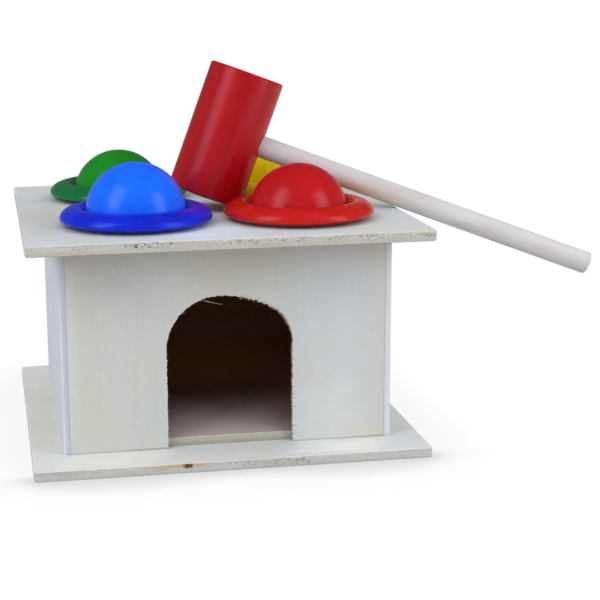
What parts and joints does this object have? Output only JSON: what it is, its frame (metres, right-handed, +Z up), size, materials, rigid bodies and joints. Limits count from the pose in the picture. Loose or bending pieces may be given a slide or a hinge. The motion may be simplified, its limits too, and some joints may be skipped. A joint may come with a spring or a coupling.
{
  "type": "ball pounding toy",
  "caption": "Wooden ball pounding toy: a small house with an arched door, coloured balls held in collars on its roof, a ramp inside and a mallet laid across it.",
  "frame": {"origin": "centre of the base board's underside, where the toy rests", "axes": "+Z up, the doorway faces -Y, +X to the right seen from the door, the mallet's handle points to +X"},
  "size_m": [0.2076, 0.138, 0.1343],
  "materials": {
    "whitewashed_ply": "thin matt whitewash",
    "bare_ply": "sanded, bare",
    "bare_dowel": "sanded, bare",
    "red_lacquer": "gloss lacquer",
    "blue_lacquer": "gloss lacquer",
    "green_lacquer": "gloss lacquer",
    "yellow_lacquer": "gloss lacquer",
    "blue_plastic": "gloss",
    "red_plastic": "gloss",
    "green_plastic": "gloss",
    "yellow_plastic": "gloss"
  },
  "bodies": {
    "house": {"top_board": "whitewashed_ply", "base_board": "whitewashed_ply", "front_panel": "whitewashed_ply", "back_panel": "whitewashed_ply", "left_wall": "whitewashed_ply", "right_wall": "whitewashed_ply", "ramp_board": "bare_ply", "ramp_batten": "bare_ply", "ring_blue": "blue_plastic", "ring_red": "red_plastic", "ring_green": "green_plastic", "ring_yellow": "yellow_plastic"},
    "blue_ball": {"ball_blue": "blue_lacquer"},
    "red_ball": {"ball_red": "red_lacquer"},
    "green_ball": {"ball_green": "green_lacquer"},
    "yellow_ball": {"ball_yellow": "yellow_lacquer"},
    "mallet": {"hammer_head": "red_lacquer", "hammer_handle": "bare_dowel"}
  },
  "joints": [
    {"name": "blue_ball_drop", "type": "slide", "parent": "house", "child": "blue_ball", "axis": [0, 0, 1], "range_m": [-0.0565, 0]},
    {"name": "red_ball_drop", "type": "slide", "parent": "house", "child": "red_ball", "axis": [0, 0, 1], "range_m": [-0.0543, 0]},
    {"name": "green_ball_drop", "type": "slide", "parent": "house", "child": "green_ball", "axis": [0, 0, 1], "range_m": [-0.0427, 0]},
    {"name": "yellow_ball_drop", "type": "slide", "parent": "house", "child": "yellow_ball", "axis": [0, 0, 1], "range_m": [-0.0438, 0]},
    {"name": "mallet_lift", "type": "slide", "parent": "house", "child": "mallet", "axis": [0, 0, 1], "range_m": [0, 0.15]}
  ]
}
